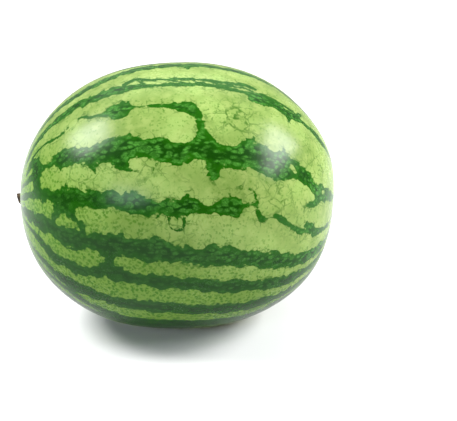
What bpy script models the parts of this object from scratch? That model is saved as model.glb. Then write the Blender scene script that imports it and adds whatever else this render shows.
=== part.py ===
"""A whole oval watermelon lying on its belly, with the dry stub of its stem.

Metres, +Z up. The long axis runs along X with the stem end at -X. The origin is the middle of the
flat spot that the fruit rests on, straight below the middle of its length.
"""

import math

import bmesh
import bpy
from mathutils import Matrix, Vector

# The fruit's skin: a turned oval, a little squarer than an ellipse and fuller towards the blossom end
LENGTH = 0.295
DIAMETER = 0.252
SQUARENESS = 2.24  # 2 is a plain ellipse
FULLNESS = 0.016  # how much wider the blossom half is, as a share of the radius
REST_WIDTH = 0.044  # across the flat spot on the belly

# The dimples at the two ends
STEM_DIMPLE_RADIUS = 0.017
STEM_DIMPLE_DEPTH = 0.0022
BLOSSOM_DIMPLE_RADIUS = 0.012
BLOSSOM_DIMPLE_DEPTH = 0.0014

# The stem stub, which stands in a shallow socket in the stem dimple
STUB_RADIUS = 0.0056
STUB_FLARE = 0.0006  # how much wider its foot is
STUB_FLARE_LENGTH = 0.0013  # from the socket's rim to where the flare ends
STUB_REACH = 0.0041  # from the socket's rim to the middle of the slanting cut
STUB_CUT_ANGLE = math.radians(16)
SOCKET_DEPTH = 0.0015
FIT_GAP = 0.0003

FRUIT_SEGMENTS = 64
BELLY_RINGS = 36
DIMPLE_RINGS = 5
STUB_SEGMENTS = 30
PROFILE_SAMPLES = 400  # for finding the widest place
MERGE_DISTANCE = 1e-6
CREASE_ANGLE = math.radians(35)  # a sharper edge than this isn't shaded smooth

STEM_END, BLOSSOM_END = -1, 1


def clear_scene():
    for old in list(bpy.data.objects):
        bpy.data.objects.remove(old)


def material(name, colour, roughness):
    made = bpy.data.materials.new(name)
    made.use_nodes = True
    shader = made.node_tree.nodes["Principled BSDF"]
    shader.inputs["Base Color"].default_value = (*colour, 1)
    shader.inputs["Roughness"].default_value = roughness
    shader.inputs["Metallic"].default_value = 0
    return made


def object_from(name, shape, skin):
    """Closes off a bmesh as a named, smooth-shaded object."""
    bmesh.ops.recalc_face_normals(shape, faces=shape.faces)
    mesh = bpy.data.meshes.new(name)
    shape.to_mesh(mesh)
    shape.free()
    mesh.materials.append(skin)
    mesh.shade_smooth()
    mesh.set_sharp_from_angle(angle=CREASE_ANGLE)
    made = bpy.data.objects.new(name, mesh)
    bpy.context.scene.collection.objects.link(made)
    return made


def turned(profile, segments):
    """A solid turned about X from (x, radius) points that start and end on the axis."""
    shape = bmesh.new()
    points = [shape.verts.new((x, 0, radius)) for x, radius in profile]
    edges = [shape.edges.new(pair) for pair in zip(points, points[1:])]
    bmesh.ops.spin(
        shape,
        geom=points + edges,
        cent=(0, 0, 0),
        axis=(1, 0, 0),
        angle=math.tau,
        steps=segments,
        use_merge=True,
    )
    bmesh.ops.remove_doubles(shape, verts=shape.verts, dist=MERGE_DISTANCE)
    return shape


def cut_flat(shape, point, normal):
    """Cuts away what lies past a plane and closes the cut with one flat face."""
    cut = bmesh.ops.bisect_plane(
        shape,
        geom=shape.verts[:] + shape.edges[:] + shape.faces[:],
        plane_co=point,
        plane_no=normal,
        clear_outer=True,
    )
    rim = [part for part in cut["geom_cut"] if isinstance(part, bmesh.types.BMEdge)]
    bmesh.ops.contextual_create(shape, geom=rim)


def dimple(radius, end):
    """How far the skin is drawn in towards the middle, this far from the axis."""
    if end == STEM_END:
        width, depth = STEM_DIMPLE_RADIUS, STEM_DIMPLE_DEPTH
    else:
        width, depth = BLOSSOM_DIMPLE_RADIUS, BLOSSOM_DIMPLE_DEPTH
    if radius >= width:
        return 0
    return depth * (1 + math.cos(math.pi * radius / width)) / 2


def skin_point(angle):
    """(x, radius) of the skin, with angle from 0 at the stem end to pi at the blossom end."""
    power = 2 / SQUARENESS
    end = STEM_END if angle < math.pi / 2 else BLOSSOM_END
    along = end * abs(math.cos(angle)) ** power
    radius = DIAMETER / 2 * abs(math.sin(angle)) ** power * (1 + FULLNESS * along)
    return along * LENGTH / 2 - end * dimple(radius, end), radius


def angle_at(radius):
    """The skin angle, from the nearer end, at which the skin is about this far from the axis."""
    return math.asin((radius / (DIAMETER / 2)) ** (SQUARENESS / 2))


def steps(first, last, count):
    return [first + (last - first) * i / count for i in range(count + 1)]


def socket_radius():
    return STUB_RADIUS + STUB_FLARE + FIT_GAP


def socket_floor():
    """Where along X the floor of the stub's socket lies."""
    return skin_point(angle_at(socket_radius()))[0] + SOCKET_DEPTH


def widest_radius():
    return max(skin_point(angle)[1] for angle in steps(0, math.pi, PROFILE_SAMPLES))


def rest_height():
    """How far the flat spot lies below the fruit's axis."""
    return math.sqrt(widest_radius() ** 2 - (REST_WIDTH / 2) ** 2)


def watermelon():
    stem_dimple = steps(socket_radius(), STEM_DIMPLE_RADIUS, DIMPLE_RINGS)
    blossom_dimple = steps(BLOSSOM_DIMPLE_RADIUS, 0, DIMPLE_RINGS)
    near_stem = [angle_at(radius) for radius in stem_dimple]
    near_blossom = [math.pi - angle_at(radius) for radius in blossom_dimple]
    belly = steps(near_stem[-1], near_blossom[0], BELLY_RINGS)[1:-1]

    floor = socket_floor()
    rim_radius = skin_point(near_stem[0])[1]
    profile = [(floor, 0), (floor, rim_radius)]
    profile += [skin_point(angle) for angle in near_stem + belly + near_blossom]

    shape = turned(profile, FRUIT_SEGMENTS)
    bmesh.ops.translate(shape, verts=shape.verts, vec=(0, 0, rest_height()))
    cut_flat(shape, point=(0, 0, 0), normal=(0, 0, -1))
    rind = material("striped rind", colour=(0.13, 0.30, 0.05), roughness=0.38)
    return object_from("watermelon", shape, rind)


def stem_stub():
    """The stub, cut on a slant so that its top edge stands further out."""
    cut_middle = SOCKET_DEPTH + STUB_REACH
    past_cut = cut_middle + 2 * STUB_RADIUS * math.tan(STUB_CUT_ANGLE)
    profile = [
        (0, 0),
        (0, STUB_RADIUS + STUB_FLARE),
        (-SOCKET_DEPTH, STUB_RADIUS + STUB_FLARE),
        (-SOCKET_DEPTH - STUB_FLARE_LENGTH, STUB_RADIUS),
        (-past_cut, STUB_RADIUS),
        (-past_cut, 0),
    ]
    shape = turned(profile, STUB_SEGMENTS)
    cut_normal = Vector((-math.cos(STUB_CUT_ANGLE), 0, -math.sin(STUB_CUT_ANGLE)))
    cut_flat(shape, point=(-cut_middle, 0, 0), normal=cut_normal)
    bark = material("dry stem", colour=(0.045, 0.030, 0.016), roughness=0.85)
    stub = object_from("stem_stub", shape, bark)
    stub.matrix_world = Matrix.Translation((socket_floor() - FIT_GAP, 0, rest_height()))
    return stub


clear_scene()
watermelon()
stem_stub()
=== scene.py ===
# A whole striped watermelon, lying on its belly on a white studio floor
import math
import random

import bmesh
import bpy
import numpy as np
from mathutils import Matrix, Vector, noise


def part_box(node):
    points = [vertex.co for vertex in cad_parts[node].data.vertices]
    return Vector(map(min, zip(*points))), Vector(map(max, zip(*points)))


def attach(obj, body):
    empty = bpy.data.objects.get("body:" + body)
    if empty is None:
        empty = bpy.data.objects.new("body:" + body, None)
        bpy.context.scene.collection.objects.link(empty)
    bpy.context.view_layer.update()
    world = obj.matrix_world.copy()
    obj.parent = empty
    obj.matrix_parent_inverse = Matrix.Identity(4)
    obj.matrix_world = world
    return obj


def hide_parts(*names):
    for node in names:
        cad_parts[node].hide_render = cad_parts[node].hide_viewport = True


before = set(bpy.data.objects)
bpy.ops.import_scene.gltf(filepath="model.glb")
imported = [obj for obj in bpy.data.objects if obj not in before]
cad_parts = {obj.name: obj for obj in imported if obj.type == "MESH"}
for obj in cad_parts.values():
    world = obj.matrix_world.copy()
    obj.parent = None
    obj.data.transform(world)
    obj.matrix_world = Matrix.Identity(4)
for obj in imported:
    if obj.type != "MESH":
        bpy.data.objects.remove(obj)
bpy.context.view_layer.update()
fruitLow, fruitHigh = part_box("watermelon")
stubLow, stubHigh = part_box("stem_stub")
widest = (fruitHigh.y - fruitLow.y) / 2  # the fruit's largest radius
axisHeight = fruitHigh.z - widest
middle = Vector((0, 0, axisHeight))
print("frame loaded:", len(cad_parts), "pieces")


def toward(azimuth, elevation):  # azimuth 0 is in front of the fruit and 90 past its blossom end
    around, up = math.radians(azimuth), math.radians(elevation)
    return Vector((math.sin(around) * math.cos(up), -math.cos(around) * math.cos(up), math.sin(up)))


def shade(code):  # a screen colour code as linear light
    parts = [int(code[i : i + 2], 16) / 255 for i in (0, 2, 4)]
    return [part / 12.92 if part <= 0.04045 else ((part + 0.055) / 1.055) ** 2.4 for part in parts]


# Camera

camera = dict(
    azimuth=-1,
    elevation=20,
    distance=1.234,
    fieldOfView=20,
    aimRight=0.0483,  # how far the picture's middle lies to the right of the fruit's
    aimDown=0.0149,
)


def makeCamera():
    back = toward(camera["azimuth"], camera["elevation"])
    right = Vector((0, 0, 1)).cross(back).normalized()
    aim = middle + right * camera["aimRight"] - back.cross(right) * camera["aimDown"]
    lens = bpy.data.cameras.new("camera")
    lens.sensor_width = 36
    lens.angle = math.radians(camera["fieldOfView"])
    made = bpy.data.objects.new("camera", lens)
    bpy.context.scene.collection.objects.link(made)
    made.location = middle + back * camera["distance"]
    made.rotation_euler = (aim - made.location).to_track_quat("-Z", "Y").to_euler()
    bpy.context.scene.camera = made


makeCamera()
print("camera placed")


# Shader helpers


class Wire:  # a node's output, which takes part in sums and adds a Math node for each
    def __init__(self, finish, socket):
        self.finish = finish
        self.socket = socket

    def maths(self, operation, first, second):
        return self.finish.node("ShaderNodeMath", dict(operation=operation), {0: first, 1: second})

    def __add__(self, other):
        return self.maths("ADD", self, other)

    def __radd__(self, other):
        return self.maths("ADD", other, self)

    def __sub__(self, other):
        return self.maths("SUBTRACT", self, other)

    def __rsub__(self, other):
        return self.maths("SUBTRACT", other, self)

    def __mul__(self, other):
        return self.maths("MULTIPLY", self, other)

    def __rmul__(self, other):
        return self.maths("MULTIPLY", other, self)


class Finish:  # the nodes of a material or of the room
    def __init__(self, owner, shader="Principled BSDF"):
        owner.use_nodes = True
        self.owner = owner
        self.tree = owner.node_tree
        self.shader = self.tree.nodes[shader]
        self.place = self.node("ShaderNodeTexCoord", output="Object")

    def node(self, kind, settings=None, sockets=None, output=0):
        made = self.tree.nodes.new(kind)
        for key, value in (settings or {}).items():
            setattr(made, key, value)
        for key, value in (sockets or {}).items():
            self.feed(made.inputs[key], value)
        return Wire(self, made.outputs[output])

    def feed(self, socket, value):
        if isinstance(value, Wire):
            self.tree.links.new(value.socket, socket)
        elif hasattr(value, "__len__") and socket.type == "RGBA":
            socket.default_value = (*value[:3], 1)
        else:
            socket.default_value = value

    def mix(self, share, first, second):
        return self.node(
            "ShaderNodeMix", dict(data_type="RGBA"), {0: share, 6: first, 7: second}, output=2
        )

    def moved(self, vector, offset):  # also keeps one cloud of noise from matching another
        return self.node("ShaderNodeVectorMath", dict(operation="ADD"), {0: vector, 1: offset})

    def scaled(self, vector, factor):
        return self.node("ShaderNodeVectorMath", dict(operation="SCALE"), {0: vector, "Scale": factor})

    def least(self, first, second):
        return self.node("ShaderNodeMath", dict(operation="MINIMUM"), {0: first, 1: second})

    def most(self, first, second):
        return self.node("ShaderNodeMath", dict(operation="MAXIMUM"), {0: first, 1: second})

    def ramp(self, value, low, high):  # 0 below low, 1 above high and smooth between
        sockets = {"Value": value, "From Min": low, "From Max": high}
        return self.node("ShaderNodeMapRange", dict(interpolation_type="SMOOTHSTEP"), sockets)

    def grain(self, where, size, detail=2.0, roughness=0.5):  # noise, size in metres
        sockets = {"Vector": where, "Scale": 1 / size, "Detail": detail, "Roughness": roughness}
        return self.node("ShaderNodeTexNoise", None, sockets)

    def drift(self, where, size, amount):  # where, pushed about by noise
        sockets = {"Vector": where, "Scale": 1 / size, "Detail": 1.0}
        cloud = self.node("ShaderNodeTexNoise", None, sockets, output="Color")
        pushed = self.scaled(self.moved(cloud, (-0.5, -0.5, -0.5)), 2 * amount)
        return self.moved(where, pushed)

    def cells(self, where, size, feature="F1"):  # distance from the cell's heart, as a share of its size
        sockets = {"Vector": where, "Scale": 1 / size}
        return self.node("ShaderNodeTexVoronoi", dict(feature=feature), sockets, output="Distance")

    def edges(self, where, size):  # distance from the line between two cells
        return self.cells(where, size, feature="DISTANCE_TO_EDGE")

    def bumped(self, height, distance, strength):
        sockets = {"Height": height, "Distance": distance, "Strength": strength}
        return self.node("ShaderNodeBump", None, sockets)

    def finished(self, **channels):
        for name, value in channels.items():
            self.feed(self.shader.inputs[name.replace("_", " ")], value)
        return self.owner


# The fruit's shape: a turned oval, squarer than an ellipse and fuller towards the blossom end

fruit = dict(
    rings=248,
    segments=392,
    squareness=2.24,  # 2 is a plain ellipse
    fullness=0.016,  # how much wider the blossom half is, as a share of the radius
    stemDimple=(0.017, 0.0022),  # radius and depth
    blossomDimple=(0.012, 0.0014),
    swell=0.0007,  # how far the skin strays from the turned shape
    swellSize=0.055,
    # gentle dents and bulges: share of the way, degrees above the front, spread and height
    dents=(
        (0.2, 100, 0.05, -0.0016),
        (0.77, 100, 0.045, -0.0018),
        (0.9, 78, 0.035, 0.0019),
        (0.4, -95, 0.05, 0.0006),
    ),
    belly=0.0006,  # how softly the flat spot starts
)


def meridian(count=6000):  # x, radius and distance along the skin, from stem pole to blossom pole
    angle = np.linspace(0, math.pi, count)
    power = 2 / fruit["squareness"]
    along = -np.sign(np.cos(angle)) * np.abs(np.cos(angle)) ** power
    radius = np.abs(np.sin(angle)) ** power * (1 + fruit["fullness"] * along)
    radius *= widest / radius.max()
    x = along * (fruitHigh.x - fruitLow.x) / 2
    for end, (width, depth) in ((-1, fruit["stemDimple"]), (1, fruit["blossomDimple"])):
        drawnIn = depth * (1 + np.cos(math.pi * np.minimum(radius / width, 1))) / 2
        x -= np.where(np.sign(along) == end, end * drawnIn, 0)
    x = np.interp(x, [x.min(), x.max()], [fruitLow.x, fruitHigh.x])
    arc = np.concatenate([[0], np.cumsum(np.hypot(np.diff(x), np.diff(radius)))])
    return x, radius, arc


skinX, skinRadius, skinArc = meridian()
skinLength = skinArc[-1]


def onSkin(along, around):  # a share of the way from the stem pole, and degrees above the front
    arc = np.asarray(along) * skinLength
    x, radius = np.interp(arc, skinArc, skinX), np.interp(arc, skinArc, skinRadius)
    turn = np.radians(around)
    return np.stack([x, -radius * np.cos(turn), radius * np.sin(turn) + axisHeight], axis=-1)


# Dark bands from stem to blossom: share of the way, and lower and upper edge in degrees above the front

darkBands = dict(
    crest=[
        (0.03, 79, 81), (0.12, 80.5, 84.5), (0.2, 82.3, 87), (0.28, 83, 87.5), (0.35, 85, 89.3),
        (0.4, 88.3, 93), (0.5, 89.3, 94), (0.6, 89.5, 93.3), (0.75, 89, 92), (0.88, 88, 91),
        (0.97, 89, 91),
    ],
    shoulder=[
        (0.03, 57.6, 60.4), (0.1, 60, 64), (0.13, 61.4, 66.8), (0.155, 65, 69.8), (0.18, 67, 71.4),
        (0.205, 68, 72.4), (0.23, 68.6, 73.6), (0.255, 69.2, 74.4), (0.28, 69.8, 75), (0.3, 70, 75.4),
        (0.32, 70, 74.4), (0.35, 70, 75.8), (0.375, 70.6, 75.4), (0.395, 72.1, 74.7),
    ],
    shoulderTop=[
        (0.39, 75.5, 77), (0.408, 77.3, 79.2), (0.425, 77.3, 79), (0.445, 76, 77.5), (0.48, 75.5, 77.2),
        (0.55, 74.8, 76.3), (0.6, 73.8, 75.4), (0.635, 75, 76.8), (0.662, 74, 75.8),
    ],
    shoulderFoot=[
        (0.39, 71.5, 74), (0.42, 71.6, 74.2), (0.45, 71.3, 73), (0.5, 71, 72.8), (0.56, 70.8, 72.4),
        (0.6, 69.6, 71.4), (0.64, 69, 70.8), (0.662, 68.4, 70.6),
    ],
    shoulderEnd=[
        (0.652, 66, 68.4), (0.667, 65, 70), (0.68, 65.5, 71), (0.695, 66.8, 70.6), (0.712, 66.4, 69.8),
        (0.728, 65, 69), (0.745, 64, 68.2), (0.78, 65, 68.4), (0.82, 64, 68.6), (0.88, 62.5, 67.5),
        (0.96, 58, 61),
    ],
    shoulderHaze=[(0.672, 71.6, 73), (0.7, 71.4, 72.8), (0.73, 70.6, 72), (0.76, 70.4, 71.6)],
    leaf=[
        (0.333, 58.8, 59.6), (0.35, 58.2, 60.2), (0.362, 57, 61.2), (0.373, 56, 62.2),
        (0.386, 56.6, 62.8), (0.4, 57.6, 61), (0.415, 59, 60),
    ],
    bridge=[
        (0.44, 58.8, 59.8), (0.465, 58.2, 59.8), (0.48, 57.6, 59.7), (0.5, 56.8, 60.2),
        (0.515, 56, 60.2), (0.528, 54.3, 58.6),
    ],
    waist=[
        (0.03, 33, 36.5), (0.08, 33.8, 38), (0.115, 34.6, 38), (0.14, 35.2, 40), (0.16, 33.8, 44),
        (0.178, 34.5, 43.5), (0.195, 36.3, 41.2), (0.213, 37.4, 40.8), (0.232, 36.8, 42.2),
        (0.252, 35.6, 44.5), (0.275, 36.8, 43.7), (0.3, 36.8, 43.2), (0.318, 35, 43),
        (0.34, 35.4, 43.6), (0.37, 34.8, 44.6), (0.39, 32.6, 45), (0.41, 34.5, 45), (0.43, 35, 43.8),
        (0.45, 33.4, 43.3), (0.47, 34, 42.4), (0.49, 33, 41), (0.515, 34, 41.2), (0.535, 34.8, 42.2),
        (0.553, 33, 42.5), (0.572, 31, 40), (0.6, 32.6, 38.4), (0.618, 31.2, 39.6), (0.64, 30.6, 42.6),
        (0.66, 30.4, 41.2), (0.68, 28.6, 39.5), (0.7, 27, 39), (0.73, 27.6, 37.2), (0.755, 27, 35),
        (0.775, 25.4, 32.5), (0.792, 23, 29.8), (0.807, 18, 26.5), (0.825, 14.6, 24.6),
        (0.845, 14, 22.8), (0.87, 12.5, 20.5), (0.91, 12, 17.5), (0.96, 11, 14),
    ],
    girdle=[
        (0.03, 17.5, 21), (0.08, 19, 23.6), (0.125, 19.8, 24.6), (0.15, 19.6, 25), (0.18, 19.6, 26),
        (0.205, 19.4, 25), (0.228, 17.6, 23.2), (0.245, 14.6, 24.2), (0.262, 13, 24.8),
        (0.28, 15.4, 24.2), (0.3, 17, 23.4), (0.325, 15.8, 22), (0.35, 15.8, 21.2), (0.378, 14.9, 21.4),
        (0.4, 13.6, 21), (0.425, 13.2, 19.2), (0.45, 13, 18.2), (0.48, 12.6, 17.9), (0.5, 12.6, 18),
        (0.514, 12.8, 18.8), (0.526, 13.4, 17), (0.545, 13.6, 15.8), (0.565, 12.8, 15.8),
        (0.58, 11.9, 17.2), (0.592, 12, 18.4), (0.605, 11.6, 17), (0.618, 13.6, 16.2),
        (0.635, 14.9, 16.3), (0.652, 14.6, 16.6),
    ],
    girdleEnd=[
        (0.66, 8.15, 9.45), (0.68, 8.75, 9.85), (0.694, 9.15, 10.65), (0.706, 6.95, 9.05),
        (0.722, 4.35, 6.25), (0.737, 1.35, 3.45), (0.752, -1.65, 0.65), (0.768, -3.65, -0.55),
        (0.785, -4.65, 0.25), (0.805, -7.65, -3.85), (0.86, -12.65, -9.85), (0.95, -15.65, -13.85),
    ],
    apron=[
        (0.03, 1.5, 5.5), (0.08, 2, 8), (0.125, 1, 8.8), (0.15, -0.2, 9), (0.175, -0.6, 8),
        (0.2, -0.8, 6.8), (0.222, -1.2, 7.6), (0.243, -3.2, 5.2), (0.26, -4.7, 3.8), (0.29, -4.9, 3.6),
        (0.32, -4, 3.6), (0.34, -4.8, 3.4), (0.357, -6.8, 4.4), (0.372, -5.2, 4.3), (0.39, -4.7, 2.6),
        (0.42, -6, 1.6), (0.445, -6.6, 3), (0.475, -7, 0.4), (0.5, -7.4, -0.8), (0.53, -8, -2.4),
        (0.565, -8.6, -0.6), (0.6, -9.6, -3.4), (0.66, -13, -6.5), (0.72, -18.5, -12),
        (0.8, -25.5, -19), (0.88, -31, -26), (0.96, -34, -31),
    ],
    hem=[
        (0.03, -8, -5.5), (0.1, -8, -5), (0.15, -9.8, -6), (0.175, -12.8, -7.6), (0.2, -15, -10.4),
        (0.225, -18, -12.8), (0.25, -20, -14.8), (0.3, -19.8, -14.8), (0.33, -18.4, -13.8),
        (0.355, -17, -11), (0.42, -18.4, -13.8), (0.5, -20, -15), (0.6, -24, -18.5), (0.7, -30, -24.5),
        (0.8, -38, -33), (0.9, -45, -41.5),
    ],
    skirt=[
        (0.03, -27, -24.5), (0.1, -28.5, -25.5), (0.15, -30, -26), (0.2, -31.6, -26.4),
        (0.25, -34.6, -28), (0.3, -35.8, -28.2), (0.35, -35.6, -29.2), (0.45, -35.5, -29.5),
        (0.55, -38, -32), (0.66, -41.5, -36), (0.78, -48, -43.5), (0.9, -55.5, -52.5),
    ],
    cellar=[
        (0.03, -41, -39), (0.12, -40, -36.8), (0.225, -41.5, -37.8), (0.275, -44.2, -40.2),
        (0.3, -45.4, -41), (0.325, -47.6, -42.2), (0.35, -49, -43.4), (0.375, -50, -44.4),
        (0.5, -50.5, -45), (0.65, -55, -49.5), (0.8, -62, -58), (0.93, -67, -65),
    ],
)

# Dark thorns, links and branches: share of the way, degrees above the front and half width in mm
darkBranches = dict(
    crestNotch=[(0.52, 91, 3), (0.522, 87.5, 2), (0.523, 85.5, 0.7)],
    shoulderTriangle=[(0.672, 70, 5), (0.675, 67, 3), (0.678, 64.6, 0.7)],
    shoulderThorn=[(0.74, 66, 4), (0.738, 62.5, 2), (0.736, 60, 0.7)],
    shoulderTwig=[(0.765, 69, 3), (0.772, 72.5, 2), (0.777, 75, 0.7)],
    archFoot=[
        (0.15, 55, 0.7), (0.2, 57.2, 0.8), (0.218, 55.8, 1), (0.24, 55.6, 1), (0.255, 57, 1),
        (0.268, 59, 0.8),
    ],
    archTop=[(0.292, 61.7, 0.7), (0.305, 61.4, 0.9), (0.315, 59.5, 0.8), (0.335, 59, 1.1)],
    leafThorn=[(0.386, 62, 2.5), (0.388, 64.8, 0.7)],
    leafThread=[(0.41, 59.5, 0.9), (0.43, 59.4, 0.6), (0.45, 59.2, 0.7)],
    bridgeDrop=[
        (0.522, 57.5, 3.6), (0.535, 54.5, 2.9), (0.542, 51, 2.4), (0.546, 46.5, 2.8), (0.547, 42, 5),
    ],
    waistPatch=[(0.138, 51, 2), (0.155, 48.5, 4), (0.168, 45.5, 5), (0.172, 41.5, 5)],
    waistPatchLeft=[(0.118, 44.5, 1), (0.138, 46.4, 2.6), (0.155, 47.5, 3)],
    waistTail=[(0.168, 36, 5.5), (0.173, 31.5, 4.8), (0.18, 27, 5.5), (0.186, 24, 5)],
    waistCusp=[(0.324, 36, 4), (0.326, 33, 2.6), (0.33, 30.5, 0.8)],
    waistCuspRight=[(0.448, 35, 3), (0.449, 32.3, 1), (0.446, 30.3, 0.7)],
    waistLine=[(0.372, 32.3, 0.5), (0.395, 31, 0.6), (0.415, 30.3, 0.7), (0.436, 29, 0.5)],
    waistThorn=[(0.562, 33, 6), (0.565, 29.5, 4.2), (0.565, 27, 2.8), (0.562, 25.2, 0.8)],
    waistCrest=[(0.636, 40, 4), (0.646, 43.5, 2), (0.649, 45, 0.7)],
    waistCrestRight=[(0.716, 38, 3), (0.717, 41.5, 0.8)],
    waistHook=[(0.82, 17, 3), (0.807, 14.2, 2.4), (0.79, 13, 1.9), (0.772, 12.6, 0.9)],
    girdleSpike=[(0.264, 24.6, 2.4), (0.263, 27.5, 0.6)],
    girdleDrop=[
        (0.26, 18, 7), (0.262, 14.5, 5.5), (0.27, 11.5, 3.6), (0.282, 9.6, 2.6), (0.296, 7.4, 2.6),
        (0.3, 4, 3),
    ],
    girdleDropLeft=[(0.246, 17, 4.5), (0.24, 13, 3.4), (0.232, 10, 3), (0.226, 7, 3.4)],
    girdleThorns=[(0.505, 18.6, 2), (0.514, 20.6, 0.7)],
    girdleThornRight=[(0.592, 17.5, 2), (0.596, 19.8, 0.7)],
    pearlRing=[
        (0.478, 11.6, 0.9), (0.476, 9, 0.5), (0.481, 7, 0.4), (0.491, 6.2, 0.5), (0.501, 7, 0.4),
        (0.506, 9, 0.6), (0.505, 11.6, 0.9),
    ],
    girdleStep=[(0.648, 20.6, 0.8), (0.65, 17, 1), (0.651, 14, 1), (0.656, 11, 1.1), (0.664, 8.8, 2)],
    girdleHook=[(0.62, 22.6, 0.7), (0.636, 22.4, 0.7), (0.648, 20.6, 0.8)],
    girdlePeak=[(0.777, 0.5, 3), (0.778, 2.4, 0.8)],
    apronLink=[(0.354, -5, 3.6), (0.354, -9.5, 2.8), (0.351, -14, 3.4)],
    hemRise=[(0.172, -8.5, 2), (0.177, -4.5, 0.8), (0.178, -1.5, 1)],
    # the mesh between the shoulder's two lines
    meshOne=[(0.418, 77.6, 0.6), (0.428, 75, 0.6), (0.44, 73, 0.6)],
    meshTwo=[(0.447, 76.4, 0.6), (0.458, 74.6, 0.6), (0.47, 74.2, 0.6), (0.482, 72, 0.6)],
    meshThree=[(0.488, 76, 0.6), (0.495, 74.4, 0.6), (0.512, 73.4, 0.6), (0.522, 71.8, 0.6)],
    meshFour=[(0.53, 75.4, 0.6), (0.538, 73.6, 0.6), (0.552, 73.4, 0.7), (0.562, 71.6, 0.6)],
    meshFive=[(0.57, 75, 0.8), (0.582, 72.8, 1.1), (0.6, 72.6, 1), (0.618, 74.2, 0.8), (0.63, 72, 0.8)],
    meshSix=[(0.59, 70.6, 0.7), (0.608, 72.4, 1), (0.64, 73.2, 1.1), (0.66, 71.6, 1.3)],
)

# Where seams and veins gather in the light skin: share of the way, degrees, spread in metres and strength
veinPatches = dict(
    crown=(0.615, 53, 0.022, 1.0),
    crownLeft=(0.565, 55, 0.014, 0.8),
    lanes=(0.34, 8, 0.03, 0.3),
    lowLobes=(0.29, -9, 0.028, 0.4),
    midLane=(0.3, 29, 0.025, 0.6),
    waistFoot=(0.44, 31, 0.02, 0.7),
    rightLobes=(0.7, 18, 0.025, 0.7),
    rightRim=(0.82, 42, 0.03, 0.6),
    longLane=(0.48, 8, 0.03, 0.6),
    crownBack=(0.35, 125, 0.04, 0.9),
    back=(0.6, 170, 0.05, 0.9),
    backLow=(0.4, 210, 0.05, 0.8),
)

# Light islands and lobes that push into the dark, given like the branches
lightIslands = dict(
    waistBite=[(0.412, 33.4, 6.6), (0.424, 33.3, 7.6), (0.435, 33, 6.6)],
    lobeLeft=[(0.207, 31.5, 10), (0.22, 31.4, 12), (0.236, 30.8, 10)],
    laneStart=[(0.295, 13.2, 7.5), (0.306, 12.8, 8)],
    laneFoot=[(0.322, 7, 7.2), (0.34, 6.5, 7.8)],
    stonePale=[(0.252, 10.3, 3.8), (0.262, 7.6, 5.6), (0.276, 6.4, 6.4)],
    pearl=[(0.491, 9.3, 5)],
    patchEye=[(0.147, 43.2, 3.6)],
    waistEyesRight=[(0.735, 33.5, 3.4), (0.745, 31.4, 3.6)],
    blossomEye=[(0.83, 20.6, 3.2), (0.842, 19.8, 3)],
)

# Bands on the far side follow a rule, with the same mix of broad and narrow
farSide = dict(
    first=107,  # degrees above the front
    last=304,
    bands=12,
    knots=19,
    wander=2.6,  # degrees that each knot strays by
    drift=4,  # degrees that a whole band sways by
    broadest=12,  # half width in mm, before it tapers and varies
    breadths=(0.35, 0.5, 0.75, 1),  # shares of the broadest
    seed=12,
)


def farSideBands():
    draw = random.Random(farSide["seed"])
    step = (farSide["last"] - farSide["first"]) / (farSide["bands"] - 1)
    for i in range(farSide["bands"]):
        breadth = draw.choice(farSide["breadths"]) * farSide["broadest"]
        phase = draw.uniform(0, math.tau)
        band = []
        for k in range(farSide["knots"]):
            along = 0.03 + 0.94 * k / (farSide["knots"] - 1)
            taper = math.sin(math.pi * along) ** 0.6
            sway = math.sin(phase + 5 * along) * farSide["drift"]
            sway += draw.uniform(-1, 1) * farSide["wander"]
            halfWidth = 1 + breadth * taper * draw.uniform(0.45, 0.85)
            band.append((along, farSide["first"] + i * step + sway * taper, halfWidth))
        yield band
        for _ in range(draw.randint(2, 4)):  # thorns and links off to one side
            along = draw.uniform(0.15, 0.85)
            reach = draw.uniform(5, 15) * draw.choice((-1, 1))
            root = min(band, key=lambda knot: abs(knot[0] - along))[1]
            lean = draw.uniform(-0.02, 0.02)
            bend = (along + lean / 2, root + reach * 0.6, 3)
            yield [(along, root, 5), bend, (along + lean, root + reach, 1.2)]


def strokeOf(band):  # a band given like the branches
    for along, low, high in band:
        radius = np.interp(along * skinLength, skinArc, skinRadius)
        yield along, (low + high) / 2, math.radians((high - low) / 2) * radius * 1000


def smoothRun(knots, spacing=0.005):  # points and half widths along a smooth curve through the knots
    knots = np.array(list(knots), float)
    if len(knots) == 1:
        knots = np.repeat(knots, 2, axis=0)
        knots[1, 0] += 1e-4
    padded = np.vstack([2 * knots[0] - knots[1], knots, 2 * knots[-1] - knots[-2]])
    run = []
    for a, b, c, d in zip(padded, padded[1:], padded[2:], padded[3:]):
        reach = np.linalg.norm(onSkin(b[0], b[1]) - onSkin(c[0], c[1]))
        for t in np.linspace(0, 1, max(2, math.ceil(reach / spacing)), endpoint=False):
            square = (2 * a - 5 * b + 4 * c - d) * t**2
            run.append((2 * b + (c - a) * t + square + (3 * b - a - 3 * c + d) * t**3) / 2)
    run = np.array([*run, knots[-1]])
    return onSkin(run[:, 0], run[:, 1]), run[:, 2] / 1000


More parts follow.
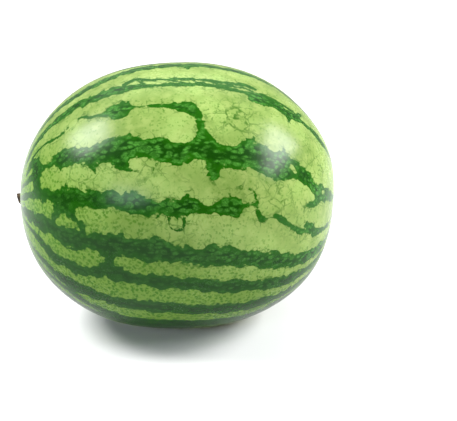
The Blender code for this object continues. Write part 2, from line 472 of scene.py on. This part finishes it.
# How far each point lies inside the nearest stroke, negative outside, and the stroke's half width there
def depthIn(points, strokes, beyond=0.016):
    order = np.argsort(points[:, 0])
    points = points[order]
    depth = np.full(len(points), -beyond)
    girth = np.zeros(len(points))
    for knots in strokes:
        line, halfWidths = smoothRun(knots)
        for start, end, first, last in zip(line, line[1:], halfWidths, halfWidths[1:]):
            room = beyond + max(first, last)
            reach = [min(start[0], end[0]) - room, max(start[0], end[0]) + room]
            low, high = np.searchsorted(points[:, 0], reach)
            offset = points[low:high] - start
            near = np.flatnonzero(np.abs(offset[:, 1]) + np.abs(offset[:, 2]) < 1.5 * room)
            offset, near = offset[near], near + low
            span = end - start
            share = np.clip(offset @ span / max(span @ span, 1e-12), 0, 1)
            here = first + (last - first) * share
            inside = here - np.linalg.norm(offset - share[:, None] * span, axis=1)
            better = inside > depth[near]
            depth[near[better]] = inside[better]
            girth[near[better]] = here[better]
    back = np.empty_like(order)
    back[order] = np.arange(len(order))
    return depth[back], girth[back]


def makeFruit():
    shape = bmesh.new()
    arcs = np.linspace(0, skinLength, fruit["rings"] + 1)
    profile = np.stack([np.interp(arcs, skinArc, skinX), np.interp(arcs, skinArc, skinRadius)], axis=1)
    profile[[0, -1], 1] = 0
    points = [shape.verts.new((x, 0, radius)) for x, radius in profile]
    edges = [shape.edges.new(pair) for pair in zip(points, points[1:])]
    bmesh.ops.spin(
        shape, geom=points + edges, cent=(0, 0, 0), axis=(1, 0, 0), angle=math.tau,
        steps=fruit["segments"], use_merge=True,
    )
    bmesh.ops.remove_doubles(shape, verts=shape.verts, dist=1e-5)
    bmesh.ops.translate(shape, verts=shape.verts, vec=(0, 0, axisHeight))
    bmesh.ops.recalc_face_normals(shape, faces=shape.faces)
    shape.normal_update()
    smooth = np.array([vert.co for vert in shape.verts])
    strokes = [*map(strokeOf, darkBands.values()), *darkBranches.values(), *farSideBands()]
    dark, girth = depthIn(smooth, strokes)
    light, _ = depthIn(smooth, lightIslands.values())
    veined = np.zeros(len(smooth))
    for along, turn, spread, strength in veinPatches.values():
        away = np.linalg.norm(smooth - onSkin(along, turn), axis=1)
        veined = np.maximum(veined, strength * np.exp(-((away / spread) ** 2)))
    print("stripes laid out:", int((dark > 0).sum() / len(dark) * 100), "% of the skin is dark")
    dents = [(Vector(onSkin(along, turn)), *rest) for along, turn, *rest in fruit["dents"]]
    for vert in shape.verts:
        stray = noise.noise(vert.co / fruit["swellSize"]) * fruit["swell"]
        for heart, spread, height in dents:
            stray += height * math.exp(-(((vert.co - heart).length / spread) ** 2))
        vert.co += vert.normal * stray
        lift = math.hypot(vert.co.z, fruit["belly"])
        vert.co.z = (vert.co.z + lift) / 2  # the flat spot on the belly
    mesh = bpy.data.meshes.new("watermelon")
    shape.to_mesh(mesh)
    shape.free()
    mesh.shade_smooth()
    for name, values in dict(stripe=np.minimum(dark, -light), girth=girth, veined=veined).items():
        mesh.attributes.new(name, "FLOAT", "POINT").data.foreach_set("value", values.astype(np.float32))
    made = bpy.data.objects.new("rind", mesh)
    bpy.context.scene.collection.objects.link(made)
    return made


# The rind's finish

rind = dict(
    light=shade("7b934d"),
    lightDeep=shade("657c3a"),
    lightYellow=shade("8d9b59"),
    # light skin as painted shade, used low down by the stem
    lightPaintedShade=shade("587824"),
    rim=shade("1c5006"),
    fleck=shade("3b7226"),
    dark=shade("164902"),
    darkDeep=shade("0c3402"),
    speck=shade("2a5c06"),
    cork=shade("8c7b4c"),
    ground=shade("d5cf8d"),
    # sizes in metres, and how broadly and how far each pattern is pushed about
    lobeSize=0.02,
    lobeDrift=(0.02, 0.003),
    smallLobeSize=0.0115,
    smallLobeDrift=(0.012, 0.0022),
    edgeDrift=(0.003, 0.0007),
    fringeSize=0.0052,
    netSize=0.0036,  # the small cells that the dark bands are made of
    netStretch=0.55,
    netDrift=(0.009, 0.0022),
    netEdgeDrift=(0.0025, 0.0007),
    seamDrift=(0.0045, 0.0015),
    veinDrift=(0.0032, 0.0012),
    speckSize=0.0033,
    speckDrift=(0.004, 0.0012),
    speckPatchSize=0.011,  # how broad the patches with more specks are
    veinPatchSize=0.022,
    breakSize=0.006,  # how long the gaps in seams and veins are
    crumbSize=0.0016,
    tintSize=0.006,
    middlingSize=0.009,
    regionSize=0.028,
    slowSize=0.05,
    corkRadius=(0.004, 0.009),  # whole within the first and gone past the second
    corkReach=(0.14, 0.1445),  # how far along from the middle the corky ends start and are whole
    groundDepth=(0.112, 0.123),  # how far below the axis the ground spot starts and is whole
    groundStrength=0.75,
    shine=0.135,
    roughness=0.19,
    leatherSize=0.0035,
    leatherHeight=0.0003,
)


def rindFinish():
    skin = Finish(bpy.data.materials.new("striped rind"))
    place = skin.place
    field = skin.node("ShaderNodeAttribute", dict(attribute_name="stripe"), output="Fac") * 1000  # in mm
    girth = skin.node("ShaderNodeAttribute", dict(attribute_name="girth"), output="Fac") * 1000
    thin = 1 - skin.ramp(girth, 1.2, 4)
    broad = 1 - thin * 0.75  # thin lines stray less than broad bands
    axes = skin.node("ShaderNodeSeparateXYZ", None, {0: place}).socket.node.outputs
    x, y, z = (Wire(skin, axis) for axis in axes)
    z = z - axisHeight
    shaded = skin.ramp(-0.5 * x - z, -0.05, 0.06)  # painted shade, partly real: skin low down by the stem is painted deeper to stand in for shade, and is also more speckled

    # Rounded light lobes push into the dark and leave pointed cusps between them
    lobePlace = skin.drift(place, *rind["lobeDrift"])
    smallPlace = skin.drift(skin.drift(place, *rind["smallLobeDrift"]), *rind["edgeDrift"])
    lobes = skin.cells(lobePlace, rind["lobeSize"]) - 0.5
    smallLobes = skin.cells(smallPlace, rind["smallLobeSize"]) - 0.5
    fringe = skin.cells(smallPlace, rind["fringeSize"]) - 0.5

    # A net of small long cells, green inside and dark round the edge, makes the bands look like lace
    along = skin.node("ShaderNodeMapping", None, {"Vector": place, "Scale": (rind["netStretch"], 1, 1)})
    netPlace = skin.drift(skin.drift(along, *rind["netDrift"]), *rind["netEdgeDrift"])
    net = skin.cells(netPlace, rind["netSize"]) - 0.5
    tint = skin.grain(skin.moved(place, (0.3, 0.1, 0)), rind["tintSize"]) - 0.5
    region = skin.grain(skin.moved(place, (0.1, 0.5, 0.2)), rind["regionSize"], detail=1.0) - 0.5
    crumbs = skin.grain(place, rind["crumbSize"]) - 0.5
    edge = field + (1.4 + lobes * 2.6 + smallLobes * 5.2 + fringe * 2.8) * broad
    inside = skin.ramp(edge, -1, 2)
    base = skin.least(edge, 2.7 + edge * 0.12) + region * 5 * inside
    cellular = net * (1.6 + inside * broad * 2) + tint * (1.9 + inside * 0.5) + crumbs * 1.7
    dark = skin.ramp(base + cellular, -0.6, 0.5)
    depth = skin.most(skin.ramp(base + cellular, -0.4, 1.2), thin * 0.85)
    green = 1 - skin.ramp(net + tint * 0.7 + region * 0.6 + crumbs * 0.5, -0.2, 0.14)
    green = green * skin.ramp(edge, 0.5, 3) * (0.3 + skin.ramp(tint + crumbs * 1.2, -0.2, 0.25) * 0.7)
    # painted shade: the green cells of the bands fade low down by the stem
    green = green * (1 - shaded * 0.6)

    # Dark seams between the lobes run on into the light skin, most of them near the bands
    near = skin.ramp(field, -11, -1)
    veined = skin.node("ShaderNodeAttribute", dict(attribute_name="veined"), output="Fac")
    patches = skin.ramp(skin.grain(skin.moved(place, (0.4, 0, 0)), rind["veinPatchSize"]), 0.5, 0.62)
    broken = skin.ramp(skin.grain(skin.moved(place, (0, 0.6, 0)), rind["breakSize"]), 0.4, 0.56)
    seamShare = skin.most(near * 0.55, veined)
    veinShare = skin.most(skin.most(near * 0.7, veined), patches * 0.3)
    seams = skin.edges(skin.drift(lobePlace, *rind["seamDrift"]), rind["lobeSize"])
    veins = skin.edges(skin.drift(smallPlace, *rind["veinDrift"]), rind["smallLobeSize"])
    seam = (1 - skin.ramp(seams, 0.005, 0.02 + seamShare * 0.05)) * seamShare * (0.35 + broken * 0.65)
    vein = (1 - skin.ramp(veins, 0.005, 0.02 + veinShare * 0.08)) * veinShare * broken
    crack = skin.most(seam, vein)

    # Light skin: slow shifts of green, deeper towards the rims of its lobes, with fine dark specks
    slow = skin.grain(place, rind["slowSize"])
    middling = skin.grain(skin.moved(place, (0, 0.3, 0)), rind["middlingSize"], detail=3.0)
    light = skin.mix(skin.ramp(slow, 0.35, 0.65), rind["lightDeep"], rind["light"])
    light = skin.mix(skin.ramp(middling, 0.38, 0.72) * 0.4, light, rind["lightYellow"])
    light = skin.mix(skin.ramp(smallLobes, -0.05, 0.3) * 0.35, light, rind["lightDeep"])
    specks = skin.cells(skin.drift(place, *rind["speckDrift"]), rind["speckSize"])
    speckHere = skin.ramp(skin.grain(skin.moved(place, (0, 0, 0.7)), rind["speckPatchSize"]), 0.36, 0.6)
    speck = 1 - skin.ramp(specks + crumbs * 0.8 - shaded * 0.16, 0.16, 0.44)
    # painted shade: light skin low down by the stem turns to the darker colour
    light = skin.mix(shaded * 0.85, light, rind["lightPaintedShade"])
    light = skin.mix(speck * (0.12 + speckHere * 0.3 + shaded * 0.45), light, rind["speck"])
    light = skin.mix(crack * 0.85, light, rind["dark"])

    # Dark skin: green in the cells of the net, deepest where the band is broad
    core = skin.mix(skin.ramp(edge + tint * 8, 1, 8), rind["dark"], rind["darkDeep"])
    deep = skin.mix(green, skin.mix(depth, rind["rim"], core), rind["fleck"])
    # painted shade: the dark bands turn deeper low down by the stem
    deep = skin.mix(shaded * 0.45, deep, rind["darkDeep"])

    colour = skin.mix(dark, light, deep)

    # Corky skin round the stem and at the blossom scar, and a pale spot where the fruit lay on the ground
    fromAxis = skin.node("ShaderNodeMath", dict(operation="SQRT"), {0: y * y + z * z})
    ends = skin.ramp(x * x, *(reach**2 for reach in rind["corkReach"]))
    cork = (1 - skin.ramp(fromAxis + (middling - 0.5) * 0.004, *rind["corkRadius"])) * ends
    colour = skin.mix(cork * 0.8, colour, rind["cork"])
    under = skin.ramp(-1 * z, *rind["groundDepth"]) * rind["groundStrength"]
    colour = skin.mix(under * (1 - dark * 0.45), colour, rind["ground"])

    roughness = rind["roughness"] + slow * 0.06 + (crumbs + 0.5) * 0.08 + cork * 0.4
    leathery = skin.grain(place, rind["leatherSize"], detail=3.0, roughness=0.6)
    relief = skin.bumped(leathery - dark * 0.15, rind["leatherHeight"], strength=0.25)
    return skin.finished(
        Base_Color=colour, Roughness=roughness, Normal=relief, Specular_IOR_Level=rind["shine"]
    )


rindPiece = makeFruit()
rindPiece.data.materials.append(rindFinish())
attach(rindPiece, "root")
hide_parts("watermelon")
print("rind made:", len(rindPiece.data.polygons), "faces")


# The dry stub of the stem

stub = dict(
    segments=56,
    rings=7,
    tubeLength=1.5,  # before the slanting cut, as a share of the stub's length
    ribs=7,
    ribHeight=0.09,
    waist=0.13,  # how much narrower it is above its foot
    gnarl=0.05,  # how far the bark strays from its ribs, as a share of the width
    seed=4,
    cutAngle=16,
    weld=0.00025,  # points left closer than this by the cut become one
    # the cut end's rings: share of the last one's width, and depth
    steps=((0.86, 0.0001), (0.8, -0.0007), (0.55, 0.0003)),
    groove=shade("1d130b"),
    ridge=shade("4e3a20"),
    blotch=shade("2a2010"),
    fibreSize=0.0011,
    fibreStretch=0.25,
    fibreHeight=0.0006,
    blotchSize=0.004,
)


def makeStub():
    middleHeight = (stubLow.z + stubHigh.z) / 2
    outer = (stubHigh.y - stubLow.y) / 2
    length = stubHigh.x - stubLow.x
    shape = bmesh.new()
    bmesh.ops.create_circle(shape, segments=stub["segments"], radius=outer)
    edges = shape.edges[:]
    for _ in range(stub["rings"]):
        grown = bmesh.ops.extrude_edge_only(shape, edges=edges)["geom"]
        verts = [part for part in grown if isinstance(part, bmesh.types.BMVert)]
        edges = [part for part in grown if isinstance(part, bmesh.types.BMEdge)]
        bmesh.ops.translate(shape, verts=verts, vec=(0, 0, length * stub["tubeLength"] / stub["rings"]))
    for vert in shape.verts:
        turn = math.atan2(vert.co.y, vert.co.x)
        height = vert.co.z / length
        waist = 1 - stub["waist"] * math.sin(min(height * 1.3, 1) * math.pi / 2) ** 2
        ribbing = math.cos(turn * stub["ribs"] + 0.6 * math.sin(turn * 2))
        rib = 1 + stub["ribHeight"] * (ribbing - 0.8) * 0.5
        bark = noise.noise((math.cos(turn) * 3, math.sin(turn) * 3, height + stub["seed"]))
        width = waist * rib * (1 + stub["gnarl"] * bark)
        vert.co.x *= width
        vert.co.y *= width
    turned = Vector((-1, 0, 0)).to_track_quat("Z", "X").to_matrix()
    bmesh.ops.rotate(shape, verts=shape.verts, cent=(0, 0, 0), matrix=turned)
    bmesh.ops.translate(shape, verts=shape.verts, vec=(stubHigh.x, 0, middleHeight))
    slant = math.radians(stub["cutAngle"])
    normal = Vector((-math.cos(slant), 0, -math.sin(slant)))
    cutMiddle = stubLow.x + outer * math.tan(slant) * 0.95
    bmesh.ops.bisect_plane(
        shape, geom=shape.verts[:] + shape.edges[:] + shape.faces[:],
        plane_co=(cutMiddle, 0, middleHeight), plane_no=normal, clear_outer=True,
    )
    shape.verts.sort(key=lambda vert: vert.co.dot((1, 0.1, 0.01)))  # the weld is then the same each run
    bmesh.ops.remove_doubles(shape, verts=shape.verts, dist=stub["weld"])
    rims = [edge for edge in shape.edges if edge.is_boundary]
    bmesh.ops.holes_fill(shape, edges=rims, sides=0)
    bmesh.ops.recalc_face_normals(shape, faces=shape.faces)
    ends = [face for face in shape.faces if len(face.verts) > 8]  # the sides' faces have far fewer corners
    cap = min(ends, key=lambda face: face.calc_center_median().x)
    for share, depth in stub["steps"]:
        bmesh.ops.inset_region(shape, faces=[cap], thickness=0, depth=0)
        toCentre = Matrix.Translation(-cap.calc_center_median())
        bmesh.ops.scale(shape, verts=cap.verts, vec=(share, share, share), space=toCentre)
        bmesh.ops.translate(shape, verts=cap.verts, vec=normal * depth)
    bmesh.ops.poke(shape, faces=[cap])
    mesh = bpy.data.meshes.new("stemStub")
    shape.to_mesh(mesh)
    shape.free()
    mesh.shade_smooth()
    made = bpy.data.objects.new("stem", mesh)
    bpy.context.scene.collection.objects.link(made)
    rounded = made.modifiers.new("rounded", "SUBSURF")
    rounded.levels = rounded.render_levels = 2
    return made


def stemFinish():
    dryStem = Finish(bpy.data.materials.new("dry stem"))
    stretch = {"Vector": dryStem.place, "Scale": (stub["fibreStretch"], 1, 1)}
    strand = dryStem.grain(dryStem.node("ShaderNodeMapping", None, stretch), stub["fibreSize"], detail=3.0)
    blotched = dryStem.ramp(dryStem.grain(dryStem.place, stub["blotchSize"]), 0.45, 0.7) * 0.5
    colour = dryStem.mix(dryStem.ramp(strand, 0.35, 0.7), stub["groove"], stub["ridge"])
    colour = dryStem.mix(blotched, colour, stub["blotch"])
    relief = dryStem.bumped(strand, stub["fibreHeight"], strength=0.8)
    return dryStem.finished(Base_Color=colour, Roughness=0.7 + strand * 0.25, Normal=relief)


stemPiece = makeStub()
stemPiece.data.materials.append(stemFinish())
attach(stemPiece, "root")
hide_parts("stem_stub")
print("stem made:", len(stemPiece.data.polygons), "faces before rounding")


# Studio: a white floor under broad soft lights, in a room that is darker behind the camera

studio = dict(
    floorSize=4.0,
    floorColours=((0.62, 0.62, 0.62), (0.63, 0.63, 0.63)),
    floorPatch=0.4,  # how broad the floor's faint unevenness is
    roomFront=0.05,
    roomBack=0.48,
    roomTurn=(-0.6, 0.7),  # how far back the room starts and stops growing brighter
    # azimuth, elevation, distance, width, height, brightness and, where it isn't white, colour
    softboxes=dict(
        leftBox=(-92, 47.5, 2.2, 1.0, 0.88, 34.0),
        rightBox=(88, 35.5, 2.2, 1.1, 0.78, 34.0),
        rightLow=(64, 28, 2.2, 0.5, 0.4, 26.0),
        frontStrip=(-27, 20.5, 1.7, 0.66, 0.32, 17.0, (0.8, 0.93, 1)),
        overhead=(178, 54, 2.2, 2.4, 1.2, 1.8),
    ),
)


def makeRoom():
    room = Finish(bpy.data.worlds.new("studio"), shader="Background")
    back = room.node("ShaderNodeSeparateXYZ", None, {0: room.place}, output="Y")
    growth = studio["roomBack"] - studio["roomFront"]
    brightness = studio["roomFront"] + room.ramp(back, *studio["roomTurn"]) * growth
    bpy.context.scene.world = room.finished(Color=(1, 1, 1), Strength=brightness)


def makeFloor():
    shape = bmesh.new()
    bmesh.ops.create_grid(shape, x_segments=4, y_segments=4, size=studio["floorSize"])
    mesh = bpy.data.meshes.new("floor")
    shape.to_mesh(mesh)
    shape.free()
    floor = bpy.data.objects.new("floor", mesh)
    bpy.context.scene.collection.objects.link(floor)
    paper = Finish(bpy.data.materials.new("white paper"))
    tone = paper.mix(paper.grain(paper.place, studio["floorPatch"]), *studio["floorColours"])
    mesh.materials.append(paper.finished(Base_Color=tone, Roughness=0.8))


def makeSoftbox(name, azimuth, elevation, distance, width, height, brightness, colour=(1, 1, 1)):
    lamp = bpy.data.lights.new(name, "AREA")
    lamp.color = colour
    lamp.shape = "RECTANGLE"
    lamp.size = width
    lamp.size_y = height
    lamp.energy = brightness * math.pi * width * height
    made = bpy.data.objects.new(name, lamp)
    bpy.context.scene.collection.objects.link(made)
    made.location = middle + toward(azimuth, elevation) * distance
    made.rotation_euler = (middle - made.location).to_track_quat("-Z", "Y").to_euler()


makeRoom()
makeFloor()
for name, setting in studio["softboxes"].items():
    makeSoftbox(name, *setting)
bpy.context.scene.view_settings.view_transform = "Standard"
print("studio lit")
